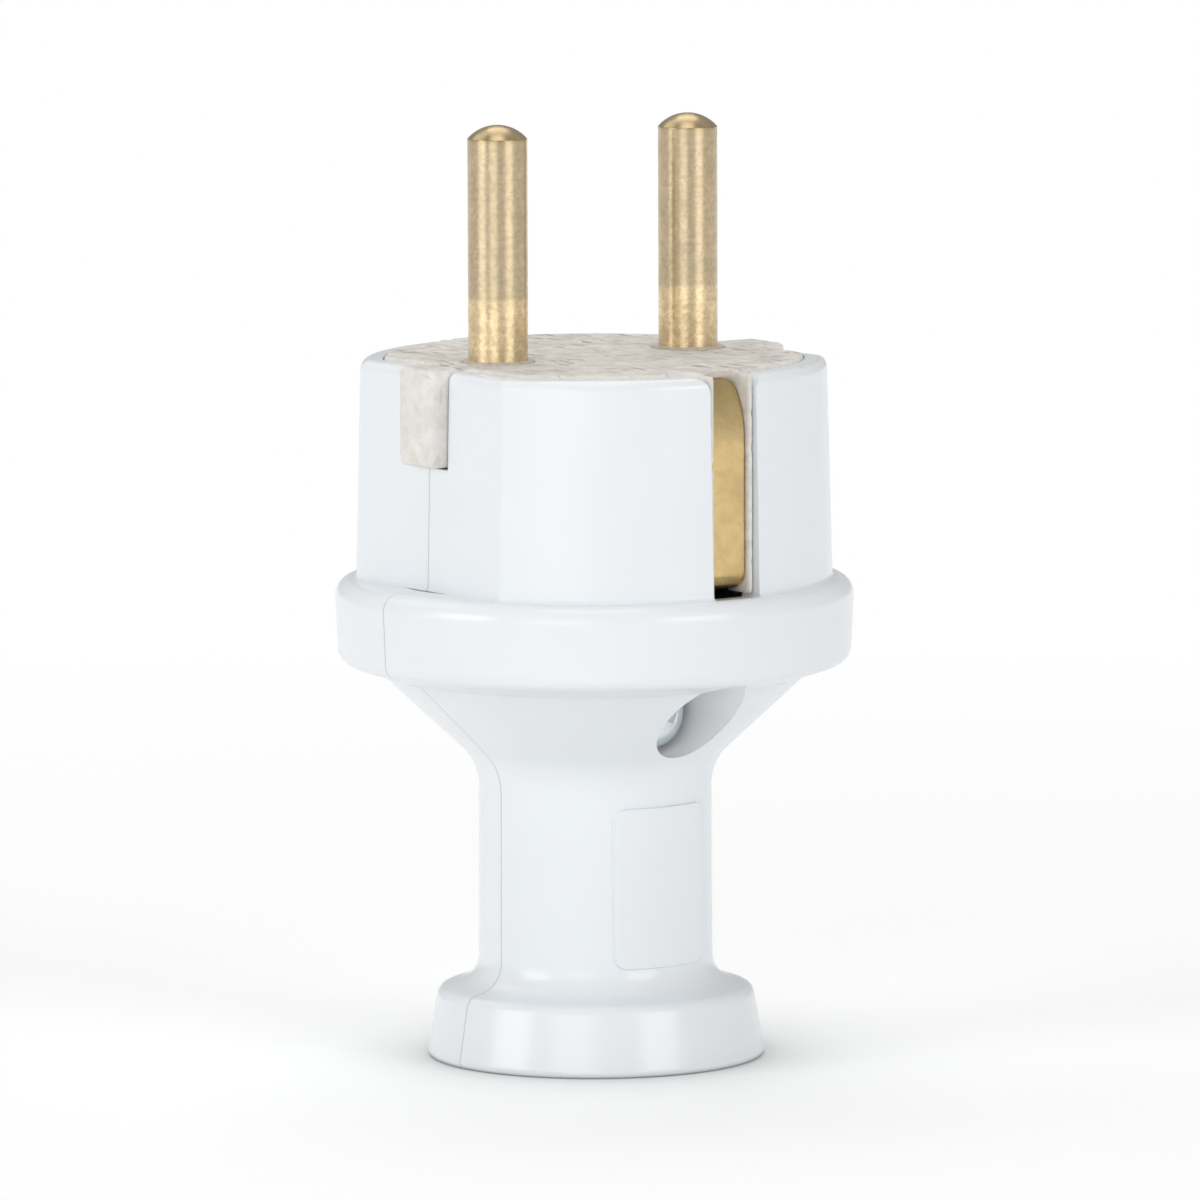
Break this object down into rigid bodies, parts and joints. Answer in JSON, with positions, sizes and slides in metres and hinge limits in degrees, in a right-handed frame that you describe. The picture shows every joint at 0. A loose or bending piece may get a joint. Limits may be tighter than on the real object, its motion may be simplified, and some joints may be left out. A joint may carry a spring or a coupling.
{
  "type": "rewirable earthed plug",
  "caption": "Rewirable round-pin mains plug: split moulded casing around a ceramic core, side earth contacts, waisted neck for the cord and a flared foot.",
  "frame": {"origin": "centre of the underside of the foot, where the cord enters", "axes": "+Z from the foot to the pins, +X through both pins, -Y towards the head of the assembly screw"},
  "size_m": [0.0418, 0.0418, 0.076],
  "materials": {
    "casing": "white moulded thermoset, gloss",
    "core": "unglazed, warm grey-beige, finely mottled",
    "pin_brass": "turned, finely brushed",
    "strap_brass": "rolled strip, tumbled",
    "screw_brass": "turned",
    "zinc_steel": "bright zinc plated"
  },
  "bodies": {
    "root": {"front_shell": "casing", "rear_shell": "casing", "ceramic_core": "core", "left_pin": "pin_brass", "right_pin": "pin_brass", "left_terminal_screw": "screw_brass", "right_terminal_screw": "screw_brass", "earth_strap": "strap_brass", "earth_nut": "screw_brass", "earth_washer": "screw_brass", "earth_screw": "screw_brass", "assembly_screw": "zinc_steel", "assembly_nut": "zinc_steel", "cord_clamp_bar": "zinc_steel", "left_clamp_screw": "zinc_steel", "right_clamp_screw": "zinc_steel"}
  },
  "joints": []
}
